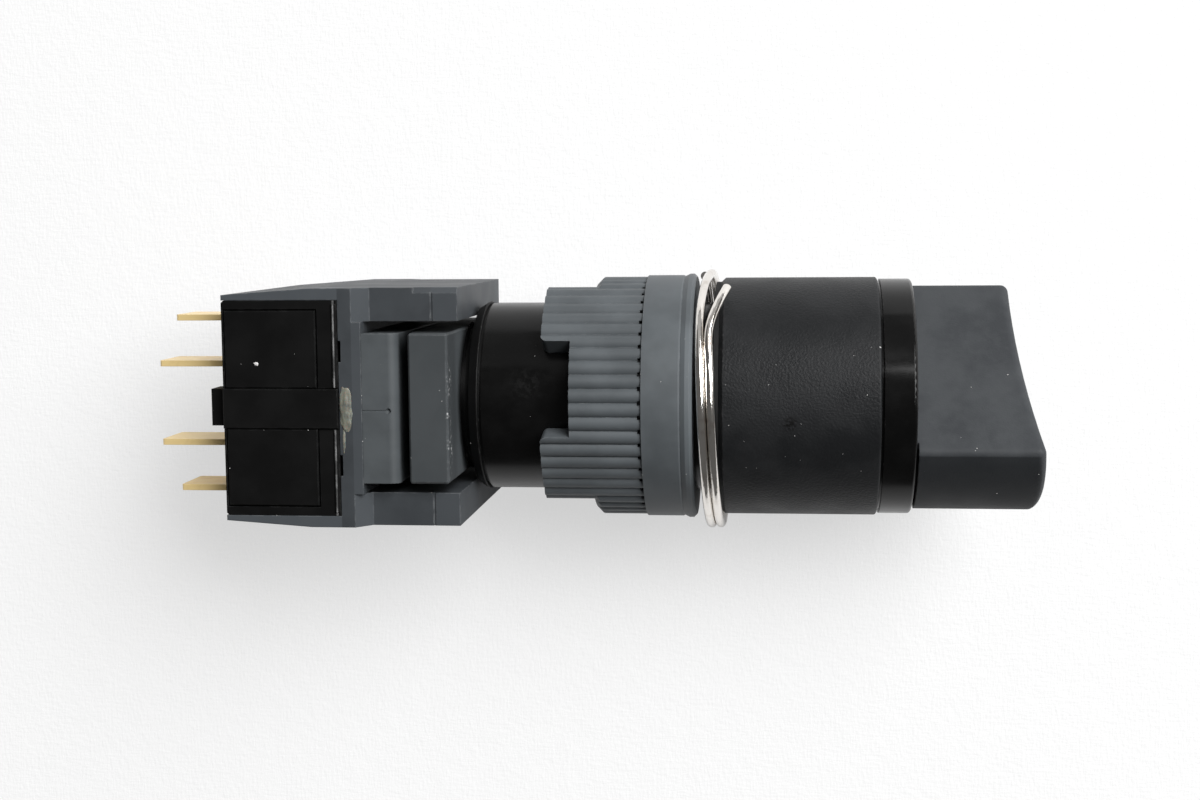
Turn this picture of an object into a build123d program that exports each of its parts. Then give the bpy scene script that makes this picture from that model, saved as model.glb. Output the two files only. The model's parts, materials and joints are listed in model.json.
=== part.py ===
from build123d import *
import os
from math import atan2, cos, degrees, pi, radians, sin, sqrt

# Panel-mount selector switch, 16 mm series. Millimetres.
# X is the switch axis, towards the knob. Z is the near side of the contact blocks.
# The origin is on the axis, in the plane where the bezel seats on the panel.

# ---- Barrel and bezel
barrel_d = 15.9
panel_bore_clearance = 0.05   # radial, for the parts that slip over the barrel
barrel_behind_panel = 20.5    # seat plane to the rear of the barrel's rim
rim_step = 0.17
rim_width = 0.8
rim_groove_width = 0.25
rim_groove_depth = 0.25
rim_chamfer = 0.1
rim_taper = 0.5               # the rim narrows this much towards the rear, radially
neck_d = 12.6
neck_length = 0.9
spigot_d = 11.2
spigot_length = 3.8
front_bore_d = 12.8
rear_bore_d = 9.8
front_bore_behind_panel = 12.0
bezel_length = 12.9
bezel_d = 20.0
bezel_edge = 0.2
bezel_rear_chamfer = 0.35
flange_length = 2.8
flange_d = 19.7
flange_edge = 0.25
flange_gap_width = 0.2 
flange_gap_depth = 0.3
knob_well_d = 17.7
knob_well_depth = 2.0

# ---- Panel gasket, nut and split ring
gasket_thickness = 0.4
gasket_d = 19.3
nut_front_gap = 2.05          # nut front to the seat plane
nut_length = 12.3
collar_length = 4.1
collar_d = 20.46
nut_rim_d = 20.7
nut_rim_width = 1.0
nut_rim_edge = 0.25
nut_rim_ramp = 0.4
nut_rim_groove_width = 0.12
nut_rim_groove_depth = 0.08
knurl_length = 4.25
knurl_d = 20.2
rib_count = 54
rib_depth = 0.26
knurl_chamfer = 0.5
leaf_flat_y = 8.8             # the leaves are flattened on both sides, this far from the middle
nut_slot_angle = 45.4
nut_slot_depth = 2.4
nut_leaf_corner = 0.5
nut_turn = 8.6               # slots, from +Z towards +Y
rib_pocket_length = 0.15
rib_pocket_width = 0.32
rib_pocket_depth = 0.2
ring_wire_d = 0.75
ring_slack = 0.23             # the sprung-open ring over the bezel, radially
ring_turn_gap = 0.02
ring_shift = 0.41             # the loose ring hangs off centre
ring_shift_side = 227.0       # where it hangs, from +Y towards +Z
ring_lean = 2.36
ring_lean_side = 200.0        # where it leans forward, from +Y towards +Z
ring_mid_x = -0.78
ring_front_end = 31.0         # angles of the wire's two ends, from +Y towards +Z
ring_rear_end = 708.0
ring_end_spring = 1.45        # how far the free end stands forward
ring_end_lift = 0.55
ring_end_sweep = 22.0         # angles over which the end springs forward, and lifts
ring_lift_sweep = 40.0
ring_cross_start = 345.0      # where the wire steps across to the second turn
ring_cross_sweep = 70.0
ring_point_step = 12.0

# ---- Knob
knob_d = 19.0
handle_thickness = 8.7
handle_gap = 0.2              # handle over the flange
handle_low = 8.3              # handle height over the flange, low end and high end
handle_high = 10.5
handle_dish_radius = 83.0
handle_edge = 0.65
handle_turn = 49.5            # handle's high end, from +Z towards -Y
knob_base_clearance = 0.15
knob_base_sink = 0.1
knob_floor_gap = 0.2
knob_stem_d = 8.4
knob_stem_flats = 6.8
knob_stem_length = 9.2
knob_bead_step = 0.15
knob_bead_width = 0.6
knob_bead_from_end = 1.0
stem_clearance = 0.03

# ---- Spindle, seal, detent and stop
running_clearance = 0.08
hub_front_gap = 0.9           # hub front to the knob's base
hub_length = 9.8
hub_floor = 1.4
seal_section_d = 0.9
seal_groove_from_front = 1.4
seal_stretch = 0.02
seal_groove_play = 0.1
shaft_d = 6.0
rear_journal_length = 5.0
detent_flats = 8.0
detent_corner_d = 9.0
detent_length = 3.0
detent_from_hub = 5.0
click_strip = 0.3
click_width = 2.4
click_clearance = 0.03
click_leg = 4.4
stop_length = 1.6
stop_angle = 60.0
stop_rib_angle = 15.0
stop_rib_root = 0.2           # the ribs are sunk this far into the bore
stop_end_play = 0.1
knob_throw = 90.0
stop_slack = 0.5
stub_d = 5.0
stub_flat = 2.1
stub_length = 3.3

# ---- Cam and plungers
cam_disc_clearance = 0.33     # radial, inside the coupling block
cam_disc_thickness = 2.0
cam_gap = 0.1
cam_track_r = 4.2
cam_track_width = 1.6
cam_track_base = 0.4
cam_track_root = 0.05         # the ramps are sunk this far into the disc
cam_overrun = 12.0            # ramp beyond the throw, at each end
cam_crown_lap = 0.5           # angle by which the level crown runs into each ramp
clip_thickness = 0.4
clip_clearance_x = 0.02
clip_d = 6.2
clip_groove_depth = 0.3
clip_bore_clearance = 0.02
clip_mouth_start = 240.0      # open side, from +Y towards +Z
clip_mouth_end = 300.0
contact_travel = 1.6
follower_clearance = 0.05
plunger_d = 1.6
plunger_turn = 25.0           # upper follower, from +Y towards +Z
guide_clearance = 0.05
carrier_length = 2.6
carrier_width = 1.8

# ---- Coupling block
coupling_side_wall = 0.42
coupling_core_wall = 0.8
half_z = 11.5                 # near and far faces of the housing
coupling_front_bar = 3.23
coupling_slot = 0.84
coupling_rear_bar = 2.95
coupling_round = 0.8
coupling_edge = 0.15
seam_width = 0.08
seam_y = -0.17
gate_pit_d = 0.4

# ---- Adapter frame
cheek_wall = 0.93             # outside the contact blocks
wall_thickness = 1.85
arm_overhang = 0.6            # arms reach ahead of the coupling block
arm_gap = 0.9
arm_drop = 1.3
arm_slope = 1.2
arm_slope_back = 0.75
arm_line_from_front = 2.1
arm_line = 0.16
arm_bevel = 0.45
arm_bevel_length = 3.6
cheek_taper = 0.5
cheek_taper_length = 7.1
hook_notch_width = 1.7
hook_notch_depth = 0.2
hook_notch_y = 4.6
hook_notch_drop = 2.0
block_side_clearance = 0.02

# ---- Contact blocks
block_length = 9.5
block_half_y = 8.7
block_gap = 0.05
block_wall = 1.2
block_front_wall = 1.1
cover_length = 7.5
cover_outer_y = 7.9
cover_inner_y = 1.65
cover_thickness = 0.7
cover_proud = 0.12
cover_clearance = 0.1
cover_edge = 0.08
cover_seat = 0.5              # width of the ledge that the cover sits on
cover_rear_gap = 0.25
block_ridge = 0.3
block_ridge_from_front = 0.3
block_ridge_end_gap = 0.1
block_corner = 0.18
chamber_clearance = 0.5
clip_web = 0.6
clip_half_y = 1.62
clip_flange = 0.5
clip_proud = 0.25
clip_clearance = 0.04
clip_edge = 0.08
tongue_length = 1.3
tongue_drop = 0.9
tongue_half_y = 1.5
tongue_depth = 3.2

# ---- Terminals and contacts
tab_width = 4.75
tab_thickness = 0.5
tab_inner_length = 6.8
tab_outer_length = 5.25
tab_corner = 0.15
tab_outer_y = 7.13
tab_inner_y = 3.3
tab_z = 4.9
tab_slit = 0.02
foot_reach = 0.95
foot_from_rear_wall = 0.7
bridge_length = 4.0
bridge_width = 1.6
bridge_thickness = 0.5
contact_gap = 0.05
spring_d = 2.1
spring_wire_d = 0.26
spring_turns = 3.5
spring_end_gap = 0.03

# ---- Radii
barrel_r = barrel_d / 2
bezel_r = bezel_d / 2
flange_r = flange_d / 2
front_bore_r = front_bore_d / 2
rear_bore_r = rear_bore_d / 2
knob_well_r = knob_well_d / 2
ring_line_r = bezel_r + ring_slack + ring_wire_d / 2
slip_r = barrel_r + panel_bore_clearance
shaft_r = shaft_d / 2
hub_r = front_bore_r - running_clearance
rear_journal_r = rear_bore_r - running_clearance
plunger_r = plunger_d / 2

# ---- Stations along X
flange_rear = bezel_length
flange_front = flange_rear + flange_length
well_floor = flange_front - knob_well_depth
rim_rear = -barrel_behind_panel
rim_front = rim_rear + rim_width
coupling_front = rim_rear - neck_length
spigot_rear = coupling_front - spigot_length
front_bore_end = -front_bore_behind_panel
nut_front = -nut_front_gap
nut_rear = nut_front - nut_length
collar_rear = nut_front - collar_length
knurl_rear = collar_rear - knurl_length
handle_base = flange_front + handle_gap
knob_base_front = flange_front - knob_base_sink
knob_base_rear = well_floor + knob_floor_gap
hub_front = knob_base_rear - hub_front_gap
hub_rear = hub_front - hub_length
stem_rear = knob_base_rear - knob_stem_length
bead_front = stem_rear + knob_bead_from_end + knob_bead_width
socket_floor = hub_rear + hub_floor
detent_front = hub_rear - detent_from_hub
detent_rear = detent_front - detent_length
stop_front = front_bore_end + stop_length
cam_front = spigot_rear - cam_gap
cam_rear = cam_front - cam_disc_thickness
stub_rear = cam_front - stub_length
track_low = cam_rear - cam_track_base
rear_bar_front = coupling_front - coupling_front_bar - coupling_slot
wall_front = rear_bar_front - coupling_rear_bar
wall_rear = wall_front - wall_thickness
arm_front = coupling_front + arm_overhang
block_front = wall_rear - block_gap
block_rear = block_front - block_length
cavity_front = block_front - block_front_wall
cavity_rear = block_rear + block_wall
foot_rear = cavity_rear + foot_from_rear_wall
foot_front = foot_rear + tab_thickness
bridge_closed_rear = foot_front + contact_gap

# ---- Places across the axis
coupling_bore_r = spigot_d / 2 + stem_clearance
coupling_half_y = coupling_bore_r + coupling_side_wall
coupling_core_half_z = coupling_bore_r + coupling_core_wall
cam_disc_r = coupling_bore_r - cam_disc_clearance
arm_inner_y = coupling_half_y + arm_gap
frame_half_y = block_half_y + block_side_clearance + cheek_wall
bridge_y = (tab_outer_y + tab_inner_y) / 2
follower_y = cam_track_r * cos(radians(plunger_turn))
follower_z = cam_track_r * sin(radians(plunger_turn))
block_inner_y = clip_web / 2 + clip_clearance
cavity_inner_y = follower_y - plunger_r - chamber_clearance
cavity_outer_y = tab_outer_y + tab_thickness / 2 + chamber_clearance
cavity_low_z = follower_z - carrier_width / 2 - chamber_clearance
window_low_z = tab_z + tab_width / 2 + chamber_clearance
cover_rear = block_rear + cover_rear_gap
cover_front = cover_rear + cover_length
cover_floor_z = half_z + cover_proud - cover_thickness
clip_floor_z = half_z + clip_proud - clip_flange - clip_clearance


def turned(points):
    """A ring or shaft turned about X from a closed profile of (x, radius) points."""
    profile = make_face(Polyline(*[(x, r, 0) for x, r in points], close=True))
    return revolve(profile, Axis.X)


def rod(x0, x1, radius, y=0, z=0):
    """A round bar along X."""
    low, high = min(x0, x1), max(x0, x1)
    return extrude(Plane.YZ.offset(low) * Pos(y, z) * Circle(radius), high - low)


def tube(x0, x1, outer_r, inner_r):
    return rod(x0, x1, outer_r) - rod(x0, x1, inner_r)


def bar(x0, x1, y0, y1, z0, z1):
    """A rectangular bar between two corners."""
    size = (abs(x1 - x0), abs(y1 - y0), abs(z1 - z0))
    return Pos((x0 + x1) / 2, (y0 + y1) / 2, (z0 + z1) / 2) * Box(*size)


def sector(radius, start, end):
    """A pie slice in the Y-Z plane, its angles from +Y towards +Z."""
    middle = (start + end) / 2
    tip = (0, 0)
    first = (radius * cos(radians(start)), radius * sin(radians(start)))
    half = (radius * cos(radians(middle)), radius * sin(radians(middle)))
    last = (radius * cos(radians(end)), radius * sin(radians(end)))
    return make_face([Line(tip, first), ThreePointArc(first, half, last), Line(last, tip)])


def wedge(x0, x1, radius, start, end):
    low, high = min(x0, x1), max(x0, x1)
    return extrude(Plane.YZ.offset(low) * sector(radius, start, end), high - low)


# ---- Static front: barrel, bezel, gasket, nut, ring

def make_barrel_body():
    body = turned([
        (flange_front, knob_well_r),
        (flange_front, flange_r),
        (flange_rear + flange_gap_width, flange_r),
        (flange_rear + flange_gap_width, flange_r - flange_gap_depth),
        (flange_rear, flange_r - flange_gap_depth),
        (flange_rear, barrel_r),
        (rim_front + rim_groove_width, barrel_r),
        (rim_front + rim_groove_width, barrel_r - rim_groove_depth),
        (rim_front, barrel_r - rim_groove_depth),
        (rim_front, barrel_r + rim_step),
        (rim_rear, barrel_r + rim_step - rim_taper),
        (rim_rear, neck_d / 2),
        (coupling_front, neck_d / 2),
        (coupling_front, spigot_d / 2),
        (spigot_rear, spigot_d / 2),
        (spigot_rear, rear_bore_r),
        (front_bore_end, rear_bore_r),
        (front_bore_end, front_bore_r),
        (well_floor, front_bore_r),
        (well_floor, knob_well_r),
    ])
    outer_edges = body.edges().filter_by(GeomType.CIRCLE).filter_by(
        lambda e: abs(e.radius - flange_r) < 0.001
    )
    body = fillet(outer_edges.sort_by(Axis.X)[-1], flange_edge)
    rim_edges = body.edges().filter_by(GeomType.CIRCLE).filter_by(
        lambda e: abs(e.radius - barrel_r - rim_step) < 0.001
    )
    body = chamfer(rim_edges, rim_chamfer)
    window = stop_angle + knob_throw + 2 * stop_slack
    # the window runs on from the stop lug's rest place in the direction of the throw
    lug_end = stop_angle / 2 + stop_slack
    for start in (lug_end, lug_end - window - stop_rib_angle):
        rib = wedge(front_bore_end, stop_front, front_bore_r + stop_rib_root, start, start + stop_rib_angle)
        body += rib - rod(front_bore_end, stop_front, rear_bore_r)
    return body


def make_bezel_sleeve():
    sleeve = tube(0, bezel_length, bezel_r, slip_r)
    rims = sleeve.edges().filter_by(GeomType.CIRCLE).filter_by(lambda e: abs(e.radius - bezel_r) < 0.001)
    sleeve = fillet(rims.sort_by(Axis.X)[-1], bezel_edge)
    rims = sleeve.edges().filter_by(GeomType.CIRCLE).filter_by(lambda e: abs(e.radius - bezel_r) < 0.001)
    return chamfer(rims.sort_by(Axis.X)[0], bezel_rear_chamfer)


def make_panel_gasket():
    return tube(-gasket_thickness, 0, gasket_d / 2, slip_r)


def ribbed_outline(flat_y):
    """Rounded ribs round a circle that is flattened at flat_y on both sides."""
    step = 2 * pi / rib_count

    def point(depth, angle):
        radius = min(knurl_d / 2, flat_y / abs(cos(angle))) - depth
        return (radius * cos(angle), radius * sin(angle))

    arcs = [
        ThreePointArc(
            point(rib_depth, (i - 0.5) * step),
            point(0, i * step),
            point(rib_depth, (i + 0.5) * step),
        )
        for i in range(rib_count)
    ]
    return make_face(arcs)


def make_mounting_nut():
    knurl = extrude(Plane.YZ.offset(knurl_rear) * ribbed_outline(knurl_d / 2), knurl_length)
    cone = turned([
        (knurl_rear, 0),
        (knurl_rear, knurl_d / 2 - knurl_chamfer),
        (knurl_rear + knurl_chamfer, knurl_d / 2),
        (collar_rear, knurl_d / 2),
        (collar_rear, 0),
    ])
    leaf_length = knurl_rear + knurl_chamfer - nut_rear
    leaves = extrude(Plane.YZ.offset(nut_rear) * ribbed_outline(leaf_flat_y), leaf_length)
    pockets = Plane.YZ.offset(collar_rear - rib_pocket_length) * PolarLocations(
        knurl_d / 2 - rib_depth, rib_count, start_angle=180 / rib_count
    ) * Box(rib_pocket_depth * 2, rib_pocket_width, rib_pocket_length * 2)
    rim_rear_x = nut_front - nut_rim_width
    collar = turned([
        (collar_rear, 0),
        (collar_rear, collar_d / 2),
        (rim_rear_x - nut_rim_groove_width, collar_d / 2),
        (rim_rear_x, collar_d / 2 - nut_rim_groove_depth),
        (rim_rear_x + nut_rim_ramp, nut_rim_d / 2),
        (nut_front - nut_rim_edge, nut_rim_d / 2),
        (nut_front, nut_rim_d / 2 - nut_rim_edge),
        (nut_front, 0),
    ])
    nut = (knurl & cone) - pockets + leaves + collar - rod(nut_rear, nut_front, slip_r)
    half_slot = nut_slot_angle / 2
    for middle in (90, 270):
        nut -= wedge(nut_rear, nut_rear + nut_slot_depth, collar_d, middle - half_slot, middle + half_slot)
    corners = nut.edges().filter_by(GeomType.LINE).filter_by(
        lambda e: abs(e.center().X - nut_rear) < 0.001 and e.length > 1
    )
    nut = fillet(corners, nut_leaf_corner)
    return Rot(X=-nut_turn) * nut


def split_ring_line():
    """Two turns side by side. The wire steps across from one turn to the next beside its ends."""
    half_pitch = (ring_wire_d + ring_turn_gap) / 2
    count = round((ring_rear_end - ring_front_end) / ring_point_step)

    def ease(value):
        value = min(max(value, 0), 1)
        return value * value * (3 - 2 * value)

    points = []
    for i in range(count + 1):
        angle = ring_front_end + (ring_rear_end - ring_front_end) * i / count
        step_across = ease((angle - ring_cross_start) / ring_cross_sweep)
        free_end = 1 - ease((angle - ring_front_end) / ring_end_sweep)
        lifted = 1 - ease((angle - ring_front_end) / ring_lift_sweep)
        x = half_pitch * (1 - 2 * step_across) + ring_end_spring * free_end
        radius = ring_line_r + ring_end_lift * lifted
        points.append((x, radius * cos(radians(angle)), radius * sin(radians(angle))))
    return Spline(*points)


def make_split_ring():
    line = split_ring_line()
    wire = sweep(Plane(origin=line @ 0, z_dir=line % 0) * Circle(ring_wire_d / 2), path=line)
    shift_y = ring_shift * cos(radians(ring_shift_side))
    shift_z = ring_shift * sin(radians(ring_shift_side))
    lean_side = radians(ring_lean_side)
    across = Axis((0, 0, 0), (0, -sin(lean_side), cos(lean_side)))
    return Pos(ring_mid_x, shift_y, shift_z) * wire.rotate(across, -ring_lean)


# ---- Rotor: knob, spindle, seal, cam, clip

def handle_frame():
    """Local axes for the handle: X along the switch axis, Y towards the handle's high end."""
    return Rot(X=90 + handle_turn)


def make_knob():
    knob_r = knob_d / 2
    low_x = flange_front + handle_low
    high_x = flange_front + handle_high
    slab = Rectangle(2 * knob_d, handle_thickness)
    handle = extrude(
        Plane.YZ.offset(handle_base) * (Circle(knob_r) & slab), high_x + handle_thickness - handle_base
    )
    above_x = high_x + 2 * handle_thickness
    dish = make_face([
        RadiusArc((low_x, -knob_r), (high_x, knob_r), handle_dish_radius),
        Line((high_x, knob_r), (above_x, knob_r)),
        Line((above_x, knob_r), (above_x, -knob_r)),
        Line((above_x, -knob_r), (low_x, -knob_r)),
    ])
    handle -= extrude(dish, handle_thickness, both=True)
    worn_edges = handle.edges().filter_by(lambda e: e.center().X > handle_base + handle_edge)
    handle = fillet(worn_edges, handle_edge)
    base_r = knob_well_r - knob_base_clearance
    base = rod(knob_base_rear, knob_base_front, base_r)
    waist = extrude(
        Plane.YZ.offset(knob_base_front) * (Circle(base_r) & slab), handle_base - knob_base_front
    )
    stem = rod(stem_rear, knob_base_rear, knob_stem_d / 2)
    bead = rod(stem_rear + knob_bead_from_end, bead_front, knob_stem_d / 2 + knob_bead_step)
    keyed = bar(stem_rear, knob_base_rear, -knob_d, knob_d, -knob_stem_flats / 2, knob_stem_flats / 2)
    return handle_frame() * (handle + base + waist + ((stem + bead) & keyed))


def make_spindle():
    groove_front = hub_front - seal_groove_from_front
    groove_rear = groove_front - seal_section_d - seal_groove_play
    groove_r = front_bore_r - seal_section_d
    spindle = turned([
        (hub_front, 0),
        (hub_front, hub_r),
        (groove_front, hub_r),
        (groove_front, groove_r),
        (groove_rear, groove_r),
        (groove_rear, hub_r),
        (hub_rear, hub_r),
        (hub_rear, shaft_r),
        (spigot_rear + rear_journal_length, shaft_r),
        (spigot_rear + rear_journal_length, rear_journal_r),
        (spigot_rear, rear_journal_r),
        (spigot_rear, stub_d / 2),
        (stub_rear, stub_d / 2),
        (stub_rear, 0),
    ])
    square = extrude(
        Plane.YZ.offset(detent_rear)
        * (Rectangle(detent_flats, detent_flats) & Circle(detent_corner_d / 2)),
        detent_length,
    )
    lug_rear = front_bore_end + stop_end_play
    lug = wedge(lug_rear, stop_front - stop_end_play, hub_r, -stop_angle / 2, stop_angle / 2)
    socket = rod(socket_floor, hub_front, knob_stem_d / 2 + stem_clearance)
    flats = knob_stem_flats / 2 + stem_clearance
    keyed = bar(socket_floor, hub_front, -knob_d, knob_d, -flats, flats)
    bead_room = rod(
        stem_rear + knob_bead_from_end - stem_clearance,
        bead_front + stem_clearance,
        knob_stem_d / 2 + knob_bead_step + stem_clearance,
    )
    flat_cut = bar(stub_rear, cam_front, stub_flat, stub_d, -stub_d, stub_d)
    clip_groove = tube(
        cam_rear - clip_thickness - 2 * clip_clearance_x, cam_rear, stub_d, stub_d / 2 - clip_groove_depth
    )
    body = spindle + square + lug
    body -= handle_frame() * ((socket + bead_room) & keyed)
    return body - flat_cut - clip_groove


def make_shaft_seal():
    seal_x = hub_front - seal_groove_from_front - (seal_section_d + seal_groove_play) / 2
    minor = seal_section_d / 2 - seal_stretch
    section = Pos(seal_x, front_bore_r - seal_section_d / 2, 0) * Circle(minor)
    return revolve(section, Axis.X)


def make_click_spring():
    """A strip bent to a U, one leg along each of two opposite flats of the spindle's square."""
    leg_y = detent_flats / 2 + click_clearance
    outer_y = leg_y + click_strip
    outline = make_face(Polyline(
        (-outer_y, -click_leg),
        (outer_y, -click_leg),
        (outer_y, click_leg),
        (leg_y, click_leg),
        (leg_y, -click_leg + click_strip),
        (-leg_y, -click_leg + click_strip),
        (-leg_y, click_leg),
        (-outer_y, click_leg),
        close=True,
    ))
    start = (detent_front + detent_rear - click_width) / 2
    strip = extrude(Plane.YZ.offset(start) * outline, click_width)
    bends = strip.edges().filter_by(Axis.X).sort_by(Axis.Z)
    inner = bends.filter_by(lambda e: abs(e.center().Z + click_leg - click_strip) < 0.001)
    strip = fillet(inner, click_strip)
    outer = strip.edges().filter_by(Axis.X).filter_by(lambda e: abs(e.center().Z + click_leg) < 0.001)
    return fillet(outer, 2 * click_strip)


def ramp(start, end, low, high):
    """A helical step on the cam's rear face, from height low at the start angle to high at the end."""
    rising_with_angle = end > start
    height = high - low
    depth = cam_track_base + high + cam_track_root
    path = Helix(
        pitch=height * 360 / abs(end - start),
        height=height,
        radius=cam_track_r,
        lefthand=rising_with_angle,
    )
    tangent = path % 0
    across = -tangent if rising_with_angle else tangent
    section_plane = Plane(origin=path @ 0, x_dir=(1, 0, 0), z_dir=across)
    section = section_plane * Pos(0, depth / 2) * Rectangle(cam_track_width, depth)
    step = sweep(section, path=path, is_frenet=True)
    outward = (0, cos(radians(start)), sin(radians(start)))
    return Plane(origin=(track_low - low, 0, 0), x_dir=outward, z_dir=(-1, 0, 0)) * step


def make_cam_rotor():
    disc = rod(cam_rear, cam_front, cam_disc_r)
    high = contact_travel * (knob_throw + cam_overrun) / knob_throw
    low = -contact_travel * cam_overrun / knob_throw
    span = knob_throw + 2 * cam_overrun
    upper_start = plunger_turn - cam_overrun
    lower_start = 180 - plunger_turn - cam_overrun
    crown_rear = track_low - high
    outer_r = cam_track_r + cam_track_width / 2
    inner_r = cam_track_r - cam_track_width / 2
    ramps = ramp(upper_start, upper_start + span, low, high)
    ramps += ramp(lower_start + span, lower_start, low, high)
    ramps &= rod(crown_rear, cam_front, cam_disc_r)
    crown = tube(cam_rear, crown_rear, outer_r, inner_r)
    crown_start = upper_start + span - cam_crown_lap
    crown &= wedge(cam_rear, crown_rear, 2 * cam_disc_r, crown_start, lower_start + cam_crown_lap)
    bore = rod(cam_rear, cam_front, stub_d / 2 + stem_clearance)
    bore &= bar(cam_rear, cam_front, -stub_d, stub_flat + stem_clearance, -stub_d, stub_d)
    return disc + ramps + crown - bore


def make_cam_clip():
    front = cam_rear - clip_clearance_x
    bore_r = stub_d / 2 - clip_groove_depth + clip_bore_clearance
    ring = tube(front - clip_thickness, front, clip_d / 2, bore_r)
    return ring - wedge(front - clip_thickness, front, clip_d, clip_mouth_start, clip_mouth_end)


# ---- Contact side: plungers, bridges, springs

def make_plunger(side, travelled):
    """A cam follower with an offset foot that carries the contact bridge."""
    tip = track_low - follower_clearance - travelled
    seat = bridge_closed_rear + bridge_thickness + contact_travel - travelled
    y, z = side * follower_y, follower_z
    body = rod(seat, tip - plunger_r, plunger_r, y, z)
    body += Pos(tip - plunger_r, y, z) * Sphere(plunger_r)
    offset_y = side * bridge_y - y
    offset_z = tab_z - z
    reach = sqrt(offset_y ** 2 + offset_z ** 2)
    turn = degrees(atan2(offset_z, offset_y))
    middle = Pos(y + offset_y / 2, z + offset_z / 2)
    outline = middle * Rot(Z=turn) * SlotCenterToCenter(reach, carrier_width)
    return body + extrude(Plane.YZ.offset(seat) * outline, carrier_length)


def make_contact_bridge(side, travelled):
    rear = bridge_closed_rear + contact_travel - travelled
    outline = Pos(side * bridge_y, tab_z) * SlotOverall(bridge_length, bridge_width)
    return extrude(Plane.YZ.offset(rear) * outline, bridge_thickness)


def make_contact_spring(side, travelled):
    front = bridge_closed_rear + contact_travel - travelled - spring_end_gap
    rear = cavity_rear + spring_end_gap
    height = front - rear - spring_wire_d
    radius = (spring_d - spring_wire_d) / 2
    path = Helix(pitch=height / spring_turns, height=height, radius=radius)
    section = Plane(origin=path @ 0, z_dir=path % 0) * Circle(spring_wire_d / 2)
    wire = sweep(section, path=path, is_frenet=True)
    seat = Plane(origin=(rear + spring_wire_d / 2, side * bridge_y, tab_z), z_dir=(1, 0, 0))
    return seat * wire


# ---- Coupling block and adapter frame

def make_coupling_block():
    bar_rear = coupling_front - coupling_front_bar
    front_bar = bar(bar_rear, coupling_front, -coupling_half_y, coupling_half_y, -half_z, half_z)
    front_bar = chamfer(front_bar.edges(), coupling_edge)
    rear_bar = bar(wall_front, rear_bar_front, -coupling_half_y, coupling_half_y, -half_z, half_z)
    round_edges = rear_bar.edges().filter_by(Axis.Y).sort_by(Axis.X)[-2:]
    rear_bar = fillet(round_edges, coupling_round)
    core = bar(
        wall_front + coupling_rear_bar / 2,
        coupling_front - coupling_front_bar / 2,
        -coupling_half_y + coupling_edge,
        coupling_half_y - coupling_edge,
        -coupling_core_half_z,
        coupling_core_half_z,
    )
    seam = Pos(wall_front, seam_y, half_z) * Rot(X=45) * Box(2 * coupling_rear_bar, seam_width, seam_width)
    gate_pit = Pos(rear_bar_front - coupling_round, seam_y, half_z) * Sphere(gate_pit_d / 2)
    block = front_bar + (rear_bar - seam - gate_pit) + core
    return block - rod(wall_front, coupling_front, coupling_bore_r)


def make_adapter_frame():
    wall = bar(wall_rear, wall_front, -arm_inner_y, arm_inner_y, -half_z, half_z)
    low_z = half_z - arm_drop
    slope_rear = wall_front - arm_slope_back
    arm_outline = make_face(Polyline(
        (wall_rear, -half_z),
        (slope_rear, -half_z),
        (slope_rear + arm_slope, -low_z),
        (arm_front, -low_z),
        (arm_front, low_z),
        (slope_rear + arm_slope, low_z),
        (slope_rear, half_z),
        (wall_rear, half_z),
        close=True,
    ))
    arm = extrude(Plane.XZ.offset(-frame_half_y) * arm_outline, frame_half_y - arm_inner_y)
    line_x = arm_front - arm_line_from_front
    for z in (-low_z, low_z):
        arm -= Pos(line_x, 0, z) * Box(arm_line, 3 * frame_half_y, arm_line)
    bevel = Pos(arm_front, frame_half_y, low_z) * Rot(X=45) * Box(
        2 * arm_bevel_length, arm_bevel * sqrt(2), arm_bevel * sqrt(2)
    )
    cheek_inner_y = block_half_y + block_side_clearance
    cheek = extrude(
        Plane.XY.offset(-half_z) * make_face(Polyline(
            (wall_rear, cheek_inner_y),
            (wall_rear, frame_half_y),
            (block_rear + cheek_taper_length, frame_half_y),
            (block_rear, frame_half_y - cheek_taper),
            (block_rear, cheek_inner_y),
            close=True,
        )),
        2 * half_z,
    )
    frame = wall + (arm - bevel) + cheek + mirror(arm, Plane.XZ) + mirror(cheek, Plane.XZ)
    for side in (-1, 1):
        middle = side * hook_notch_y
        frame -= bar(
            wall_rear,
            wall_rear + hook_notch_depth,
            middle - hook_notch_width / 2,
            middle + hook_notch_width / 2,
            half_z - hook_notch_drop,
            half_z,
        )
    return frame - rod(wall_rear, wall_front, coupling_bore_r)


# ---- Contact blocks, covers, clip, terminals

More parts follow.
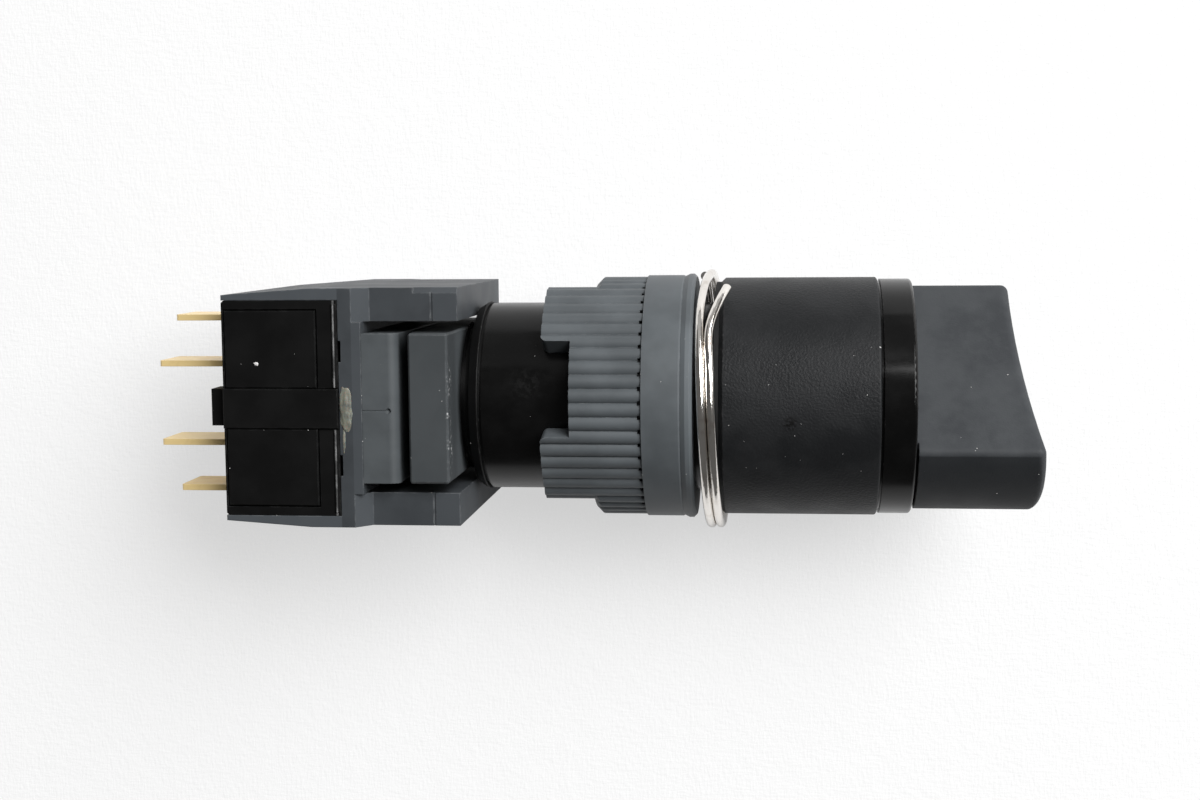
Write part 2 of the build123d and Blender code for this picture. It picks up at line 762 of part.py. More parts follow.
def make_contact_block(side):
    """One shell with a contact chamber that opens to the near face under its cover."""
    block = bar(block_rear, block_front, block_inner_y, block_half_y, -half_z, half_z)
    corner_edges = block.edges().filter_by(Axis.Z).filter_by(
        lambda e: abs(e.center().X - block_rear) < 0.001 and e.center().Y > block_half_y - 0.001
    )
    block = chamfer(corner_edges, block_corner)
    chamber = bar(cavity_rear, cavity_front, cavity_inner_y, cavity_outer_y, cavity_low_z, window_low_z)
    window = bar(
        cavity_rear,
        cover_front - cover_seat,
        cover_inner_y + cover_seat,
        cover_outer_y - cover_seat,
        cavity_low_z,
        half_z,
    )
    recess = bar(
        cover_rear - cover_clearance,
        cover_front + cover_clearance,
        cover_inner_y - cover_clearance,
        cover_outer_y + cover_clearance,
        cover_floor_z,
        half_z,
    )
    band = bar(block_rear, block_front, 0, clip_half_y + clip_clearance, clip_floor_z, half_z)
    ridge_x = block_front - block_ridge_from_front
    ridge = Pos(ridge_x, 0, half_z) * Rot(Y=45) * Box(block_ridge, 4 * block_half_y, block_ridge)
    ridge &= bar(
        block_rear, block_front, clip_half_y + block_ridge_end_gap, block_half_y - block_ridge, 0, 2 * half_z
    )
    block = block + ridge - chamber - window - recess - band
    block -= rod(cavity_front, block_front, plunger_r + guide_clearance, follower_y, follower_z)
    for y in (tab_outer_y, tab_inner_y):
        block -= bar(
            block_rear,
            cavity_rear,
            y - tab_thickness / 2 - tab_slit,
            y + tab_thickness / 2 + tab_slit,
            tab_z - tab_width / 2 - tab_slit,
            tab_z + tab_width / 2 + tab_slit,
        )
    return block if side > 0 else mirror(block, Plane.XZ)


def make_block_cover(side):
    cover = bar(cover_rear, cover_front, cover_inner_y, cover_outer_y, cover_floor_z, half_z + cover_proud)
    cover = chamfer(cover.faces().sort_by(Axis.Z)[-1].edges(), cover_edge)
    return cover if side > 0 else mirror(cover, Plane.XZ)


def make_block_clip():
    web = bar(block_rear, block_front, -clip_web / 2, clip_web / 2, -half_z, half_z)
    band_top = half_z + clip_proud
    band = bar(block_rear, block_front, -clip_half_y, clip_half_y, band_top - clip_flange, band_top)
    band = chamfer(band.faces().sort_by(Axis.Z)[-1].edges(), clip_edge)
    tongue = bar(
        block_rear - tongue_length,
        block_rear,
        -tongue_half_y,
        tongue_half_y,
        half_z - tongue_depth,
        half_z - tongue_drop,
    )
    return web + band + tongue


def make_terminal(side, y, length, bend):
    """A flat tab. Its foot turns towards the middle of the contact chamber."""
    tip = block_rear - length
    low_z = tab_z - tab_width / 2
    high_z = tab_z + tab_width / 2
    blade = bar(tip, foot_front, y - tab_thickness / 2, y + tab_thickness / 2, low_z, high_z)
    corners = blade.edges().filter_by(Axis.Y).sort_by(Axis.X)[:2]
    blade = chamfer(corners, tab_corner)
    back = y - bend * tab_thickness / 2
    foot = bar(foot_rear, foot_front, back, back + bend * foot_reach, low_z, high_z)
    terminal = blade + foot
    return terminal if side > 0 else mirror(terminal, Plane.XZ)


nodes = {
    "knob": make_knob(),
    "barrel_body": make_barrel_body(),
    "bezel_sleeve": make_bezel_sleeve(),
    "panel_gasket": make_panel_gasket(),
    "split_ring": make_split_ring(),
    "mounting_nut": make_mounting_nut(),
    "spindle": make_spindle(),
    "shaft_seal": make_shaft_seal(),
    "click_spring": make_click_spring(),
    "cam_rotor": make_cam_rotor(),
    "cam_clip": make_cam_clip(),
    "coupling_block": make_coupling_block(),
    "adapter_frame": make_adapter_frame(),
    "block_clip": make_block_clip(),
    "terminal_1": make_terminal(1, tab_outer_y, tab_outer_length, -1),
    "terminal_2": make_terminal(1, tab_inner_y, tab_inner_length, 1),
    "terminal_3": make_terminal(-1, tab_inner_y, tab_inner_length, 1),
    "terminal_4": make_terminal(-1, tab_outer_y, tab_outer_length, -1),
}
# at rest the upper plunger is released and the lower one is pressed
for name, side, travelled in (("upper", 1, 0), ("lower", -1, contact_travel)):
    nodes["contact_block_" + name] = make_contact_block(side)
    nodes["block_cover_" + name] = make_block_cover(side)
    nodes["plunger_" + name] = make_plunger(side, travelled)
    nodes["contact_bridge_" + name] = make_contact_bridge(side, travelled)
    nodes["contact_spring_" + name] = make_contact_spring(side, travelled)

os.makedirs("parts", exist_ok=True)
for name, solid in nodes.items():
    export_step(solid, "parts/" + name + ".step")
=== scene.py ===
import json
import random

import bmesh
import bpy
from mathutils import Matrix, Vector, noise


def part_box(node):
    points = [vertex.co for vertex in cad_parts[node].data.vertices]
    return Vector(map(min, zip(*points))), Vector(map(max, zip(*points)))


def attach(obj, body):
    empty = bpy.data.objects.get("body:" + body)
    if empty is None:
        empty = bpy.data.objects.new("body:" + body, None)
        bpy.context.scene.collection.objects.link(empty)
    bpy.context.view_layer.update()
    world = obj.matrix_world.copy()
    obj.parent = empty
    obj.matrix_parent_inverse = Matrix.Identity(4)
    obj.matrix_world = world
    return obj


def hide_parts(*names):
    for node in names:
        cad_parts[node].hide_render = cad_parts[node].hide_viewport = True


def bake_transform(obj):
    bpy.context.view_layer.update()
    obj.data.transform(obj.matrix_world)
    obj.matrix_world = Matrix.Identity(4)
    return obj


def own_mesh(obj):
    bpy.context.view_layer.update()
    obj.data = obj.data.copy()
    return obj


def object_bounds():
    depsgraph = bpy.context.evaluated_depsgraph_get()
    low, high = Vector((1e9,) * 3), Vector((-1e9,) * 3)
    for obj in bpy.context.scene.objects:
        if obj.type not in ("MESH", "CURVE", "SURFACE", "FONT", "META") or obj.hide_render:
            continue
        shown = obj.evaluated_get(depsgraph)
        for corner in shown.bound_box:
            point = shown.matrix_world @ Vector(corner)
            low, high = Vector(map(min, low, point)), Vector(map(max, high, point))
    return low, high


MM = 0.001      # the frame is in metres, and the sizes and places in this script are in millimetres

KNOB_SIDE = (0, -0.76, 0.65)        # where the handle's narrow side looks at rest
BARREL_RIM_X = -20.3                # the matt rear rim of the barrel
RIDGE_X, RIDGE_Z = -30.62, 11.65    # the ridge near the front of the contact blocks, which gets a painted highlight
CLIP_HALF_Y = 1.68                  # the clip band covers the ridge this far to each side
HOUSING_TOP_Z = 11.5                # the housing's near face
SEAM_Y = -0.17                      # the coupling block's moulded seam
BAR_FRONT_X = -21.3                 # just ahead of the coupling block's front face
GRAIN_WIDTHS = 0.012, 0.028         # the thinnest and the widest grain of dust
FLOOR_HALF_SIZE = 6                 # in metres

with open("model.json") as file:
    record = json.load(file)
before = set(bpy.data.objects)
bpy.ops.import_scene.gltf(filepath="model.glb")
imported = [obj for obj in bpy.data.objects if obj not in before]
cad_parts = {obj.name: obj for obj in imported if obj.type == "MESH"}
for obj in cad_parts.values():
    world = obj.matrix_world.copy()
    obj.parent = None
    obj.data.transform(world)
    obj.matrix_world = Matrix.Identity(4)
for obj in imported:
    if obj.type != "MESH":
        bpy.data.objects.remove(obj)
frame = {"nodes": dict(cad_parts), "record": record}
parts = frame["nodes"]
cad_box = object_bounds()


# ---- Materials

class Surface:
    """A Principled material whose colour, gloss and relief are patterns in the part's own space."""

    def __init__(self, name, metallic=0.0, specular=0.5):
        self.material = bpy.data.materials.new(name)
        self.material.use_nodes = True
        self.tree = self.material.node_tree
        self.shader = self.tree.nodes["Principled BSDF"]
        self.shader.inputs["Metallic"].default_value = metallic
        self.shader.inputs["Specular IOR Level"].default_value = specular
        own_space = self.tree.nodes.new("ShaderNodeTexCoord")
        self.place = own_space.outputs["Object"]
        self.normal = own_space.outputs["Normal"]

    def node(self, kind, inputs, **settings):
        made = self.tree.nodes.new("ShaderNode" + kind)
        for key, value in settings.items():
            setattr(made, key, value)
        for key, value in inputs.items():
            if isinstance(value, bpy.types.NodeSocket):
                self.tree.links.new(value, made.inputs[key])
            else:
                made.inputs[key].default_value = value
        return made

    # Arithmetic and mixing

    def math(self, operation, first, second):
        return self.node("Math", {0: first, 1: second}, operation=operation).outputs[0]

    def times(self, first, second):
        return self.math("MULTIPLY", first, second)

    def outside(self, inside):
        return self.math("SUBTRACT", 1, inside)

    def aligned(self, first, second):
        """The dot product of two directions."""
        made = self.node("VectorMath", {0: first, 1: second}, operation="DOT_PRODUCT")
        return made.outputs["Value"]

    def band(self, value, low, high, out_low=0.0, out_high=1.0):
        """A smooth step from out_low to out_high as value goes from low to high."""
        inputs = {0: value, 1: low, 2: high, 3: out_low, 4: out_high}
        return self.node("MapRange", inputs, interpolation_type="SMOOTHSTEP").outputs[0]

    def mix(self, first, second, amount):
        inputs = {0: amount, 6: first, 7: second}
        return self.node("Mix", inputs, data_type="RGBA").outputs[2]

    def over(self, base, colour, where, share):
        """The base colour, with a share of another colour laid over it where the pattern is 1."""
        return self.mix(base, colour, self.times(where, share))

    # Patterns

    def stretched(self, stretch):
        return self.node("Mapping", {"Vector": self.place, "Scale": stretch}).outputs[0]

    def noise(self, size, detail=3.0, stretch=(1, 1, 1)):
        """Cloudy noise whose patches are about size across, and longer where stretch is less."""
        inputs = {
            "Vector": self.stretched(stretch), "Scale": 1 / (size * MM),
            "Detail": detail, "Roughness": 0.55,
        }
        return self.node("TexNoise", inputs).outputs[0]

    def patches(self, size, low, high, detail=3.0):
        """0 where such noise is below low, 1 where it is above high."""
        return self.band(self.noise(size, detail), low, high)

    def spot(self, centre, radius, soft=0.5, stretch=(1, 1, 1)):
        """1 inside a ball with a soft rim, which is shorter where stretch is more."""
        middle = [at * MM * scale for at, scale in zip(centre, stretch)]
        inputs = {0: self.stretched(stretch), 1: middle}
        far = self.node("VectorMath", inputs, operation="DISTANCE").outputs["Value"]
        return self.band(far, radius * MM * (1 - soft), radius * MM, 1, 0)

    def slab(self, letter, middle, half, soft):
        """1 within half of middle along one axis, fading to 0 over soft."""
        along = self.node("SeparateXYZ", {0: self.place}).outputs[letter]
        off = self.math("ABSOLUTE", self.math("SUBTRACT", along, middle * MM), 0)
        return self.band(off, half * MM, (half + soft) * MM, 1, 0)

    def facing(self, direction):
        """1 where the surface looks along a direction of the part or straight against it."""
        turn = self.aligned(self.normal, direction)
        return self.band(self.math("ABSOLUTE", turn, 0), 0.8, 0.95)

    def specks(self, spacing, size, share):
        """Small dots, one in a share of the cells of a random grid."""
        cells = self.node("TexVoronoi", {"Vector": self.place, "Scale": 1 / (spacing * MM)})
        dot = self.band(cells.outputs["Distance"], 0.4 * size / spacing, size / spacing, 1, 0)
        lot = self.node("SeparateColor", {0: cells.outputs["Color"]}).outputs[0]
        return self.times(dot, self.band(lot, 1 - share, 1.001 - share))

    def rounded(self, radius):
        """The normal with the edges rounded."""
        return self.node("Bevel", {"Radius": radius * MM}, samples=4).outputs[0]

    def edges(self, radius):
        """1 where the surface turns sharply within the radius."""
        plain = self.node("NewGeometry", {}).outputs["Normal"]
        return self.band(self.aligned(self.rounded(radius), plain), 0.82, 0.995, 1, 0)

    def wear_and_highlight_edges(self, radius, patch, low, high):
        """1 on sharp edges, in some patches only; lightened there, this is edge wear and a painted
        highlight.
        """
        return self.times(self.edges(radius), self.patches(patch, low, high))

    def crevice(self, reach):
        """1 deep in gaps that are narrow for the reach."""
        seen = self.node("AmbientOcclusion", {"Distance": reach * MM}, samples=8).outputs["AO"]
        return self.band(seen, 0.12, 0.55, 1, 0)

    # What the shader gets

    def colour(self, value):
        self.tree.links.new(value, self.shader.inputs["Base Color"])

    def roughness(self, value):
        self.tree.links.new(value, self.shader.inputs["Roughness"])

    def cloudy_roughness(self, cloud, low, high):
        self.roughness(self.band(cloud, 0.3, 0.7, low, high))

    def relief(self, height, depth, strength, rounding=0.0):
        inputs = {"Height": height, "Distance": depth * MM, "Strength": strength}
        if rounding:
            inputs["Normal"] = self.rounded(rounding)
        bump = self.node("Bump", inputs)
        self.tree.links.new(bump.outputs[0], self.shader.inputs["Normal"])


def grey(value, warm=0.0):
    return (value * (1 + warm), value, value * (1 - warm), 1)


def knob_plastic():
    s = Surface("knob_plastic_look", specular=0.17)
    cloud = s.noise(5.0, detail=4)
    base = s.mix((0.037, 0.040, 0.044, 1), (0.053, 0.057, 0.061, 1), s.band(cloud, 0.35, 0.65))
    base = s.over(base, (0.060, 0.064, 0.068, 1), s.patches(0.9, 0.4, 0.7, detail=4), 0.3)
    # painted shade: the narrow sides are made darker than the gripped flats
    base = s.over(base, (0.014, 0.0155, 0.0175, 1), s.facing(KNOB_SIDE), 0.75)
    # lighter edges: edge wear and a painted highlight
    base = s.over(base, grey(0.10), s.wear_and_highlight_edges(0.35, 1.1, 0.42, 0.62), 0.6)
    base = s.mix(base, grey(0.4), s.specks(spacing=3.2, size=0.045, share=0.3))
    s.colour(base)
    s.cloudy_roughness(cloud, 0.52, 0.62)
    s.relief(s.noise(0.16, detail=2), depth=0.03, strength=0.35, rounding=0.2)
    return s.material


def gloss_black():
    """The flange and the barrel, with a faint smudge and a matt rear rim."""
    s = Surface("gloss_black_look", specular=0.2)
    smudge = s.spot((-15.7, 1.6, 8.0), radius=2.2, soft=0.9)
    smudge = s.times(smudge, s.patches(0.5, 0.45, 0.6, detail=5))
    base = s.mix(grey(0.0025), grey(0.005), s.patches(3.0, 0.4, 0.7, detail=5))
    base = s.over(base, grey(0.012), smudge, 0.3)
    # lighter edges: edge wear and a painted highlight
    base = s.over(base, grey(0.12), s.wear_and_highlight_edges(0.12, 0.5, 0.58, 0.68), 0.4)
    base = s.mix(base, grey(0.25), s.specks(spacing=3.4, size=0.035, share=0.25))
    s.colour(base)
    wiped = s.noise(2.0, detail=4, stretch=(0.35, 1, 1))
    gloss = s.math("ADD", s.band(wiped, 0.35, 0.7, 0.16, 0.26), s.times(smudge, 0.08))
    matt_rim = s.times(s.slab("X", BARREL_RIM_X, half=0.6, soft=0.3), 0.4)
    s.roughness(s.math("ADD", gloss, matt_rim))
    s.relief(s.noise(1.2, detail=2), depth=0.02, strength=0.12, rounding=0.08)
    return s.material


def satin_black():
    s = Surface("satin_black_look", specular=0.18)
    cloud = s.noise(4.0, detail=4)
    dark, light = (0.0105, 0.0112, 0.0122, 1), (0.0170, 0.0178, 0.0190, 1)
    base = s.mix(dark, light, s.band(cloud, 0.35, 0.68))
    dark_mark = s.spot((5.7, -1.3, 9.9), radius=0.9, soft=0.8)
    base = s.mix(base, grey(0.004), s.times(dark_mark, s.patches(0.3, 0.4, 0.6)))
    # lighter edges: edge wear and a painted highlight
    base = s.over(base, grey(0.16), s.wear_and_highlight_edges(0.18, 0.6, 0.5, 0.62), 0.5)
    base = s.mix(base, grey(0.35), s.specks(spacing=3.0, size=0.04, share=0.3))
    s.colour(base)
    s.cloudy_roughness(cloud, 0.42, 0.52)
    s.relief(s.noise(0.2, detail=3), depth=0.08, strength=0.6, rounding=0.1)
    return s.material


def block_black():
    s = Surface("block_black_look", specular=0.12)
    cloud = s.noise(3.5, detail=4)
    base = s.mix(grey(0.0032), grey(0.0048), s.band(cloud, 0.35, 0.7))
    # a painted highlight along the ridge, broken by noise and left off under the clip band
    ridge_highlight = s.times(
        s.slab("X", RIDGE_X, half=0.05, soft=0.06), s.slab("Z", RIDGE_Z, half=0.16, soft=0.02),
    )
    ridge_highlight = s.times(ridge_highlight, s.band(s.noise(1.4, detail=4), 0.38, 0.6, 0.25, 1.0))
    ridge_highlight = s.times(ridge_highlight, s.outside(s.slab("Y", 0, CLIP_HALF_Y, soft=0.02)))
    base = s.mix(base, grey(0.2), ridge_highlight)
    # lighter edges: edge wear and a painted highlight
    base = s.over(base, grey(0.05), s.wear_and_highlight_edges(0.1, 0.9, 0.45, 0.62), 0.55)
    base = s.mix(base, grey(0.2), s.specks(spacing=3.2, size=0.035, share=0.25))
    s.colour(base)
    s.cloudy_roughness(cloud, 0.5, 0.62)
    s.relief(s.noise(0.25, detail=2), depth=0.02, strength=0.2, rounding=0.06)
    return s.material


def grey_plastic(name, base_colour, rounding, wear=0.4, lit_and_shaded_zones=(), seam=None, scuffs=()):
    """Moulded grey plastic, with painted shade in its gaps.

    A zone is (middle x, half length, gain): the near and far faces there have the colour times gain,
    a painted highlight where the gain is above 1 and painted shade where it is below 1.
    A scuff is (y, z, half length along Y): a patch of white flecks on the coupling block's front.
    """
    s = Surface(name, specular=0.3)

    def toned(gain):
        return (*(value * gain for value in base_colour), 1)

    cloud = s.noise(4.5, detail=4)
    base = s.mix(toned(0.9), toned(1.12), s.band(cloud, 0.35, 0.65))
    # painted light and shade on the near and far faces of each zone
    for middle, half, gain in lit_and_shaded_zones:
        near_or_far = s.math("SUBTRACT", 0.7, s.slab("Z", 0, half=7.0, soft=2.0))
        near_or_far = s.math("MAXIMUM", near_or_far, 0)
        base = s.mix(base, toned(gain), s.times(s.slab("X", middle, half, soft=0.06), near_or_far))
    # lighter edges: edge wear and a painted highlight
    wear_and_highlight = s.wear_and_highlight_edges(0.16, 0.7, 0.42, 0.62)
    if seam is not None:
        wear_and_highlight = s.times(wear_and_highlight, s.outside(s.slab("Y", seam, half=0.25, soft=0.1)))
    base = s.over(base, (0.26, 0.27, 0.275, 1), wear_and_highlight, wear)
    for y, z, length in scuffs:
        radius = 0.5
        scuff = s.spot((BAR_FRONT_X, y, z), radius, soft=0.9, stretch=(1, radius / length, 0.5))
        scuff = s.times(scuff, s.patches(0.7, 0.42, 0.58))
        flecks = s.times(scuff, s.specks(spacing=0.24, size=0.13, share=0.7))
        base = s.over(base, grey(0.75), flecks, 0.9)
    base = s.mix(base, grey(0.4), s.specks(spacing=3.4, size=0.04, share=0.25))
    # painted shade, darkest deep in narrow gaps
    base = s.over(base, grey(0.002), s.crevice(1.8), 0.9)
    s.colour(base)
    s.cloudy_roughness(cloud, 0.46, 0.56)
    s.relief(s.noise(0.3, detail=2), depth=0.02, strength=0.18, rounding=rounding)
    return s.material


def inner_plastic():
    s = Surface("inner_plastic_look")
    cloud = s.noise(3.0)
    s.colour(s.mix((0.66, 0.65, 0.60, 1), (0.76, 0.75, 0.71, 1), cloud))
    s.cloudy_roughness(cloud, 0.42, 0.55)
    s.relief(s.noise(0.3, detail=2), depth=0.02, strength=0.2)
    return s.material


def plated(name, light, dark, smooth, rough, rounding=0.0, metallic=1.0):
    """Plated metal: faint streaks along X, small stains."""
    s = Surface(name, metallic=metallic)
    streak = s.noise(0.5, detail=4, stretch=(0.2, 1, 1))
    s.colour(s.over(light, dark, s.patches(1.6, 0.5, 0.72, detail=4), 0.6))
    s.cloudy_roughness(streak, smooth, rough)
    s.relief(streak, depth=0.01, strength=0.1, rounding=rounding)
    return s.material


def black_rubber():
    s = Surface("black_rubber_look", specular=0.25)
    cloud = s.noise(1.5)
    s.colour(s.mix(grey(0.008), grey(0.016), cloud))
    s.cloudy_roughness(cloud, 0.7, 0.85)
    s.relief(s.noise(0.15, detail=2), depth=0.03, strength=0.3)
    return s.material


looks = {
    "knob_plastic": knob_plastic(),
    "gloss_black": gloss_black(),
    "satin_black": satin_black(),
    "block_black": block_black(),
    "grey_plastic": grey_plastic(
        "nut_grey_look", (0.085, 0.095, 0.102), rounding=0.07, wear=0.25,
        # a painted highlight: the near and far faces there lighter
        lit_and_shaded_zones=[(-2.5, 0.45, 1.5)],
    ),
    "inner_plastic": inner_plastic(),
    "nickel": plated(
        "nickel_look", light=(0.82, 0.79, 0.75, 1), dark=(0.52, 0.45, 0.39, 1),
        smooth=0.10, rough=0.17,
    ),
    "gold_plate": plated(
        "gold_plate_look", light=(1.0, 0.76, 0.36, 1), dark=(0.82, 0.59, 0.26, 1),
        smooth=0.3, rough=0.42, rounding=0.05, metallic=0.35,
    ),
    "spring_steel": plated(
        "spring_steel_look", light=(0.55, 0.55, 0.56, 1), dark=(0.4, 0.4, 0.41, 1),
        smooth=0.2, rough=0.35,
    ),
    "black_rubber": black_rubber(),
}
for row in frame["record"]["subparts"]:
    mesh = parts[row["node"]].data
    mesh.materials.clear()
    mesh.materials.append(looks[row["material_slot"]])

# the coupling block and the frame are of the same plastic in other tones than the nut
parts["coupling_block"].data.materials[0] = grey_plastic(
    "coupling_grey_look", (0.069, 0.077, 0.082), rounding=0.12, seam=SEAM_Y,
    # painted shade: the near and far faces there darker
    lit_and_shaded_zones=[(-22.8, 2.0, 0.63)],
    scuffs=[(2.2, 10.8, 2.3), (-0.7, 11.1, 1.6), (-3.6, 10.8, 2.6)],
)
parts["adapter_frame"].data.materials[0] = grey_plastic(
    "frame_grey_look", (0.042, 0.047, 0.052), rounding=0.12,
    # painted highlights: the near and far faces there lighter
    lit_and_shaded_zones=[(-40, 9.7, 1.75), (-28.57, 0.6, 1.45), (-21.6, 1.35, 1.35)],
)


# ---- Return springs: copies of the CAD springs

def live_spring(node, piece_name):
    spring = bpy.data.objects.new(piece_name, parts[node].data.copy())
    spring.matrix_world = parts[node].matrix_world
    bpy.context.scene.collection.objects.link(spring)
    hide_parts(node)
    low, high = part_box(node)
    return spring, low.x, high.x


# the upper spring is long at rest; its copy rides on the switch body
upper_spring, seat_x, free_x = live_spring("contact_spring_upper", "live_spring_upper")
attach(upper_spring, "switch_body")
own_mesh(upper_spring)
# the lower spring is pressed at rest; its copy has its place baked into its mesh
lower_spring, seat_x, free_x = live_spring("contact_spring_lower", "live_spring_lower")
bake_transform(lower_spring)


# ---- Glue and dust

def new_piece(name, made, material, body):
    mesh = bpy.data.meshes.new(name)
    made.to_mesh(mesh)
    made.free()
    for face in mesh.polygons:
        face.use_smooth = True
    mesh.materials.append(material)
    piece = bpy.data.objects.new(name, mesh)
    bpy.context.scene.collection.objects.link(piece)
    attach(piece, body)


def glue_look():
    s = Surface("glue_look")
    cloud = s.noise(0.8, detail=4)
    s.colour(s.mix((0.115, 0.12, 0.108, 1), (0.19, 0.187, 0.15, 1), s.band(cloud, 0.35, 0.65)))
    s.cloudy_roughness(cloud, 0.25, 0.5)
    s.relief(s.noise(0.35), depth=0.05, strength=0.4)
    s.shader.inputs["Subsurface Weight"].default_value = 0.15
    s.shader.inputs["Subsurface Scale"].default_value = 0.3 * MM
    return s.material


def dust_look():
    s = Surface("dust_look", specular=0.3)
    cloud = s.noise(0.1, detail=2)
    s.colour(s.mix(grey(0.45, warm=0.03), grey(0.8, warm=0.01), cloud))
    s.roughness(s.band(cloud, 0.2, 0.8, 0.6, 0.9))
    s.relief(cloud, depth=0.02, strength=0.3)
    return s.material


def lump(made, centre, size, unevenness, seed):
    """Adds a lumpy ellipsoid."""
    fineness = 4 if max(size) > 0.5 else 2
    frequency = 1.7
    ball = bmesh.ops.create_icosphere(made, subdivisions=fineness, radius=1.0)
    for vert in ball["verts"]:
        swell = 1 + unevenness * noise.noise(vert.co * frequency + Vector((seed, 0, 0)))
        spot = Vector((vert.co.x * size[0], vert.co.y * size[1], vert.co.z * size[2])) * swell
        vert.co = (spot + Vector(centre)) * MM


dab = bmesh.new()
lump(dab, (-29.75, 0.25, HOUSING_TOP_Z), (0.5, 1.5, 0.17), unevenness=0.25, seed=1)
lump(dab, (-29.7, -0.75, HOUSING_TOP_Z), (0.46, 1.1, 0.15), unevenness=0.3, seed=5)
lump(dab, (-29.93, -2.6, HOUSING_TOP_Z), (0.12, 0.95, 0.06), unevenness=0.4, seed=9)
new_piece("glue_dab", dab, glue_look(), "switch_body")

dust = dust_look()


def crumbs(name, body, chips, scattered, seed):
    """Chips near given places, and dust scattered on the near side of some nodes.

    A chip is (node, size, place near it), and scattered gives each node's number of grains.
    """
    rng = random.Random(seed)
    made = bmesh.new()
    for node, size, place in chips:
        hit = parts[node].closest_point_on_mesh(Vector(place) * MM)
        lump(made, hit[1] / MM, (size, size * 0.8, size * 0.4), unevenness=0.8, seed=place[0])
    for node, count in scattered.items():
        low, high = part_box(node)
        for i in range(count):
            x, y = rng.uniform(low.x, high.x), rng.uniform(low.y, high.y) * 0.8
            hit = parts[node].closest_point_on_mesh(Vector((x, y, high.z * 1.1)))
            width = rng.uniform(*GRAIN_WIDTHS)
            length = width * rng.uniform(0.8, 2.0)
            lump(made, hit[1] / MM, (length, width, width * 0.5), unevenness=0.6, seed=i)
    new_piece(name, made, dust, body)


crumbs("dust_body", "switch_body", chips=[
    ("block_cover_upper", 0.2, (-37.0, 3.62, 11.7)),
    ("bezel_sleeve", 0.07, (12.8, 4.83, 9.0)),
], scattered={
    "bezel_sleeve": 16, "block_cover_upper": 3, "block_cover_lower": 3,
    "barrel_body": 10, "coupling_block": 5, "mounting_nut": 6, "adapter_frame": 6,
}, seed=4)
crumbs("dust_knob", "rotor", chips=[
    ("knob", 0.05, (18.1, 2.41, 9)),
    ("knob", 0.05, (20.4, -2.97, 9)),
    ("knob", 0.05, (22.3, -7.1, 6)),
    ("knob", 0.06, (23.3, 5.64, 8)),
    ("knob", 0.035, (20.3, 4.0, 8)),
], scattered={"knob": 14}, seed=7)


# ---- Floor, light, camera

def floor_look():
    s = Surface("floor_look", specular=0.2)
    cloud = s.noise(2.2, detail=5)
    weave = s.noise(0.24, stretch=(1, 0.26, 1))
    cross = s.noise(0.3, stretch=(0.3, 1, 1))
    height = s.math("ADD", s.math("ADD", weave, cross), s.times(cloud, 1.4))
    s.colour(s.mix((0.90, 0.90, 0.905, 1), (0.935, 0.935, 0.935, 1), cloud))
    s.cloudy_roughness(cloud, 0.8, 0.95)
    s.relief(height, depth=0.1, strength=0.6)
    # part of the white is plain colour for what looks at the floor, so its shadow stays pale
    path = s.node("LightPath", {})
    mirrored = s.math("MAXIMUM", path.outputs["Is Glossy Ray"], path.outputs["Is Transmission Ray"])
    seen_share, mirrored_share = 0.6, 0.25
    share = s.math(
        "MAXIMUM",
        s.times(path.outputs["Is Camera Ray"], seen_share), s.times(mirrored, mirrored_share),
    )
    white = s.node("Emission", {"Color": (1, 1, 1, 1), "Strength": 1.0}).outputs[0]
    both = s.node("MixShader", {0: share, 1: s.shader.outputs[0], 2: white}).outputs[0]
    s.tree.links.new(both, s.tree.nodes["Material Output"].inputs["Surface"])
    return s.material


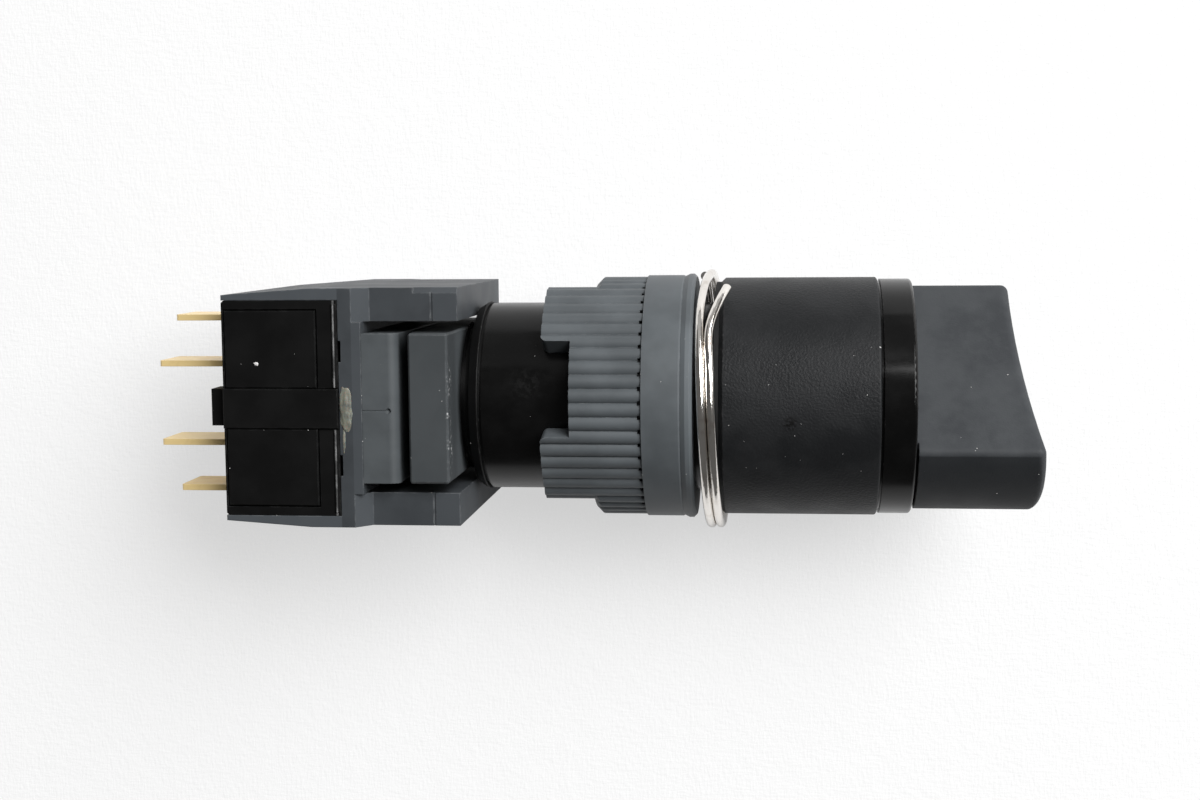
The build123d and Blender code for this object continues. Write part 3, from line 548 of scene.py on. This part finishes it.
made = bmesh.new()
bmesh.ops.create_grid(made, x_segments=8, y_segments=8, size=FLOOR_HALF_SIZE)
floor_mesh = bpy.data.meshes.new("floor")
made.to_mesh(floor_mesh)
made.free()
floor_mesh.materials.append(floor_look())
floor = bpy.data.objects.new("floor", floor_mesh)
floor.location = (0, 0, cad_box[0][2])
bpy.context.scene.collection.objects.link(floor)


def lamp(name, place, size, power):
    """A soft lamp at a place in metres, aimed at the switch."""
    data = bpy.data.lights.new(name, "AREA")
    data.shape = "RECTANGLE"
    data.size, data.size_y = size
    data.energy = power
    made = bpy.data.objects.new(name, data)
    made.location = place
    made.rotation_euler = (-Vector(place)).to_track_quat("-Z", "Y").to_euler()
    bpy.context.scene.collection.objects.link(made)


lamp("key", (0.42, 0.36, 0.58), size=(0.6, 0.55), power=10.4)
lamp("panel", (-0.05, 0.62, 0.3), size=(0.9, 0.6), power=0.55)

world = bpy.data.worlds.new("world")
bpy.context.scene.world = world
world.use_nodes = True
backdrop = world.node_tree.nodes["Background"]
backdrop.inputs["Color"].default_value = (1.0, 0.985, 0.97, 1)


def world_math(operation, first, second):
    made = world.node_tree.nodes.new("ShaderNodeMath")
    made.operation = operation
    for socket, value in zip(made.inputs, (first, second)):
        if isinstance(value, bpy.types.NodeSocket):
            world.node_tree.links.new(value, socket)
        else:
            socket.default_value = value
    return made.outputs[0]


# a dim room for the light, and the floor's far tone for what looks past the floor
ROOM, MIRRORED_EXTRA, FAR_TONE = 0.05, 0.06, 0.61
rays = world.node_tree.nodes.new("ShaderNodeLightPath").outputs
mirrored = world_math("MAXIMUM", rays["Is Glossy Ray"], rays["Is Transmission Ray"])
room = world_math("ADD", ROOM, world_math("MULTIPLY", mirrored, MIRRORED_EXTRA))
level = world_math("MAXIMUM", room, world_math("MULTIPLY", rays["Is Camera Ray"], FAR_TONE))
world.node_tree.links.new(level, backdrop.inputs["Strength"])

# the camera fitted to the photo
lens = bpy.data.cameras.new("camera")
lens.lens = 50.86
lens.sensor_width = 36
lens.clip_start = 0.01
lens.clip_end = 5
camera = bpy.data.objects.new("camera", lens)
camera.location = (0.00488, 0.01460, 0.14383)
camera.rotation_euler = (-0.1044, 0.1053, -0.0082)
bpy.context.scene.collection.objects.link(camera)
bpy.context.scene.camera = camera
bpy.context.scene.view_settings.view_transform = "Standard"
